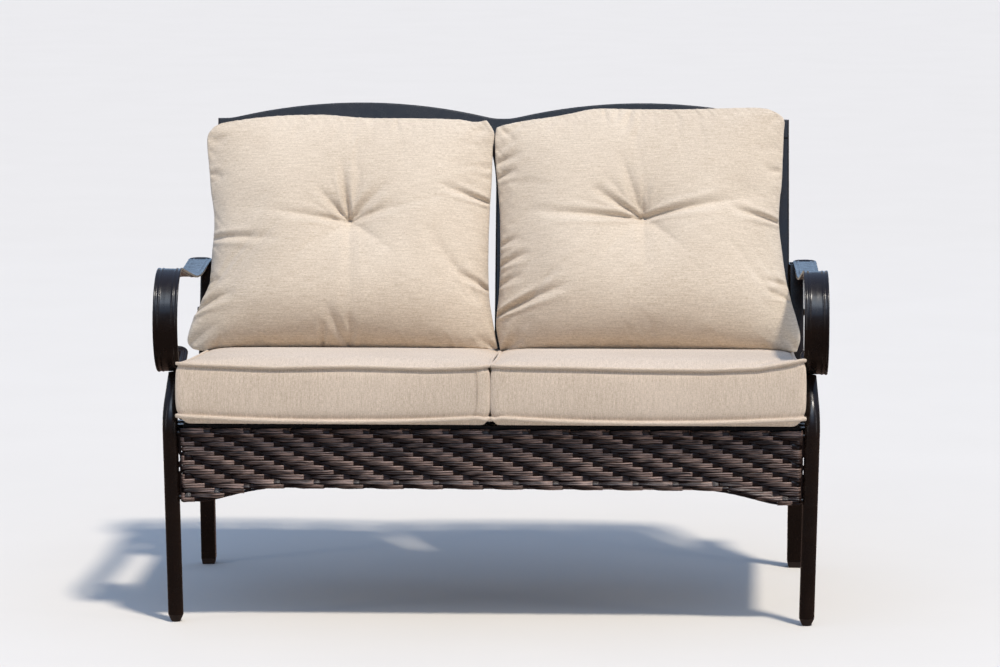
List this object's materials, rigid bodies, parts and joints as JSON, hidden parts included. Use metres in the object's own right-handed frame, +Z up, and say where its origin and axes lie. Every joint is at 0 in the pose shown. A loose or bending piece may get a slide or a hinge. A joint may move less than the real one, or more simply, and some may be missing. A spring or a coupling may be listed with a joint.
{
  "type": "patio loveseat",
  "caption": "Outdoor loveseat with a tubular metal frame, scrolled flat-bar arms, an arched back rail, a woven skirt, boxed seat cushions and loose tufted back cushions.",
  "frame": {"origin": "on the floor, under the middle of the whole loveseat", "axes": "+X to the sitter's left (the right of the front view) along the length, +Y from the front to the back, +Z up"},
  "size_m": [1.269, 0.762, 0.9295],
  "materials": {
    "frame": "dark espresso powder coat, semi-gloss",
    "wicker": "dark brown woven resin strand",
    "cushion_cover": "beige heathered slub weave",
    "cushion_filling": "soft filling, hidden",
    "black_plastic": "matt black",
    "hardware": "dark coated steel"
  },
  "bodies": {
    "frame": {"arm_strap_left": "frame", "arm_strap_right": "frame", "back_bolts": "hardware", "back_bottom_rail": "frame", "back_cap_nuts": "hardware", "back_centre_post": "frame", "back_post_left": "frame", "back_post_plug_left": "black_plastic", "back_post_plug_right": "black_plastic", "back_post_right": "frame", "back_slat_left_1": "frame", "back_slat_left_2": "frame", "back_slat_left_3": "frame", "back_slat_right_1": "frame", "back_slat_right_2": "frame", "back_slat_right_3": "frame", "back_washers": "hardware", "crest_gusset_left": "frame", "crest_gusset_right": "frame", "crest_rail": "frame", "front_foot_cap_left": "black_plastic", "front_foot_cap_right": "black_plastic", "front_leg_left": "frame", "front_leg_right": "frame", "rear_foot_cap_left": "black_plastic", "rear_foot_cap_right": "black_plastic", "rear_leg_left": "frame", "rear_leg_right": "frame", "seat_centre_rail": "frame", "seat_front_rail": "frame", "seat_rear_rail": "frame", "seat_slat_1": "frame", "seat_slat_2": "frame", "seat_slat_3": "frame", "seat_slat_4": "frame", "seat_slat_5": "frame", "side_rail_left": "frame", "side_rail_right": "frame", "skirt_bottom_rod": "frame", "skirt_end_rod_left": "frame", "skirt_end_rod_right": "frame", "skirt_top_rod": "frame", "wicker_skirt": "wicker"},
    "seat_cushion_left": {"seat_cushion_cover_left": "cushion_cover", "seat_cushion_foam_left": "cushion_filling"},
    "seat_cushion_right": {"seat_cushion_cover_right": "cushion_cover", "seat_cushion_foam_right": "cushion_filling"},
    "back_cushion_left": {"back_cushion_cover_left": "cushion_cover", "back_cushion_fibre_left": "cushion_filling"},
    "back_cushion_right": {"back_cushion_cover_right": "cushion_cover", "back_cushion_fibre_right": "cushion_filling"}
  },
  "joints": [
    {"name": "seat_cushion_left_draw", "type": "slide", "parent": "frame", "child": "seat_cushion_left", "axis": [0, -0.9962, 0.0872], "range_m": [0, 0.6]},
    {"name": "seat_cushion_right_draw", "type": "slide", "parent": "frame", "child": "seat_cushion_right", "axis": [0, -0.9962, 0.0872], "range_m": [0, 0.6]},
    {"name": "back_cushion_left_lift", "type": "slide", "parent": "frame", "child": "back_cushion_left", "axis": [0, 0.2924, 0.9563], "range_m": [0, 0.52]},
    {"name": "back_cushion_right_lift", "type": "slide", "parent": "frame", "child": "back_cushion_right", "axis": [0, 0.2924, 0.9563], "range_m": [0, 0.52]}
  ]
}
